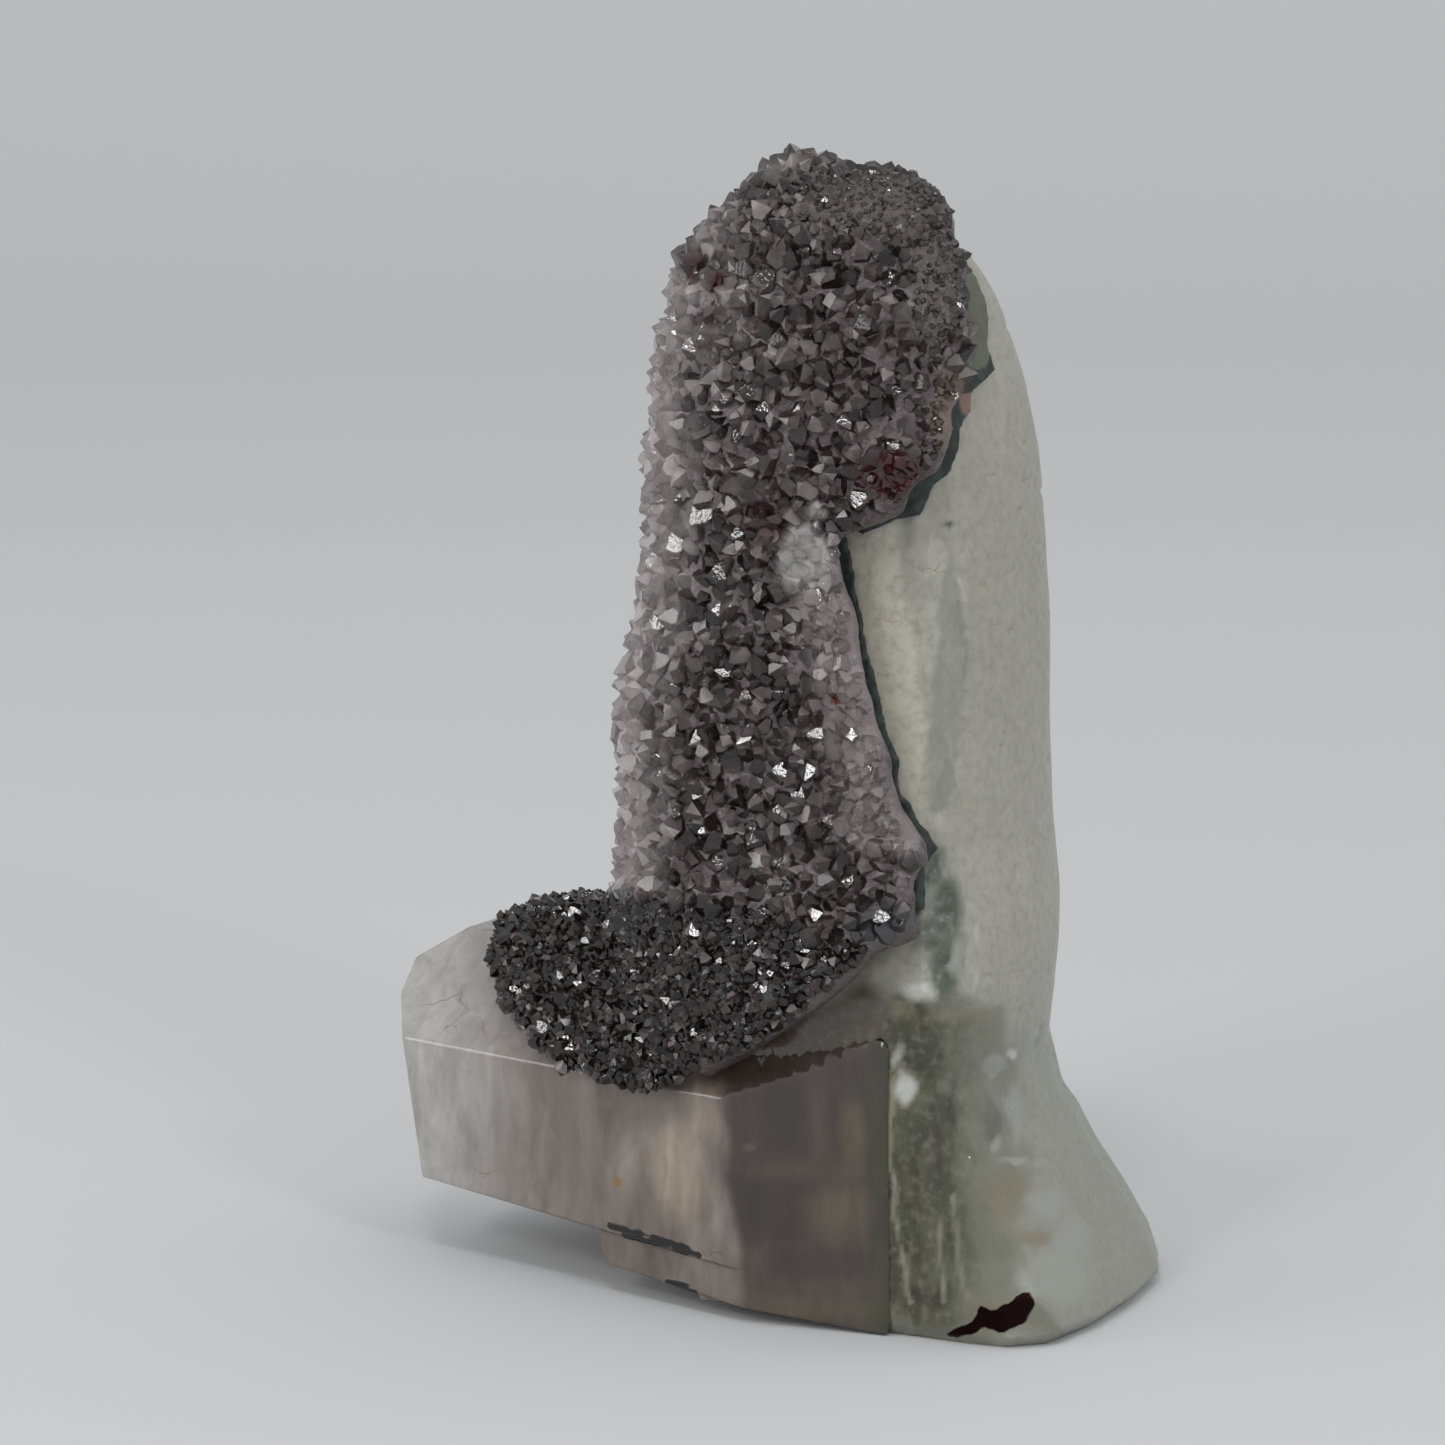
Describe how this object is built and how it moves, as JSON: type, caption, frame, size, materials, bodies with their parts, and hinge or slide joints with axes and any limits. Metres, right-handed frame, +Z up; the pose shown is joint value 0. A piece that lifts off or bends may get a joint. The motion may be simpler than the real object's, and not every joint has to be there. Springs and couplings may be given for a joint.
{
  "type": "amethyst druse on calcite",
  "caption": "Free-standing mineral specimen: a dark amethyst druse over a tall pale calcite blade with a flared foot and a clear calcite prism at its base.",
  "frame": {"origin": "on the surface the specimen stands on, under the middle of its outer box", "axes": "+Z up along the blade, -Y towards the side that the picture shows, +X towards the blade's flared foot, away from the prism"},
  "size_m": [0.062, 0.0442, 0.0926],
  "materials": {
    "amethyst_smoky": "smoky violet-brown quartz points, glassy faces",
    "calcite_pale_green": "pale green and cream calcite, frosted in places and clear in others",
    "calcite_clear_grey": "clear grey-beige calcite, smooth cleavage faces",
    "celadonite_dark_green": "earthy dark green mineral layer, matt"
  },
  "bodies": {
    "root": {"amethyst_druse": "amethyst_smoky", "calcite_blade": "calcite_pale_green", "calcite_prism": "calcite_clear_grey", "celadonite_rind": "celadonite_dark_green"}
  },
  "joints": []
}
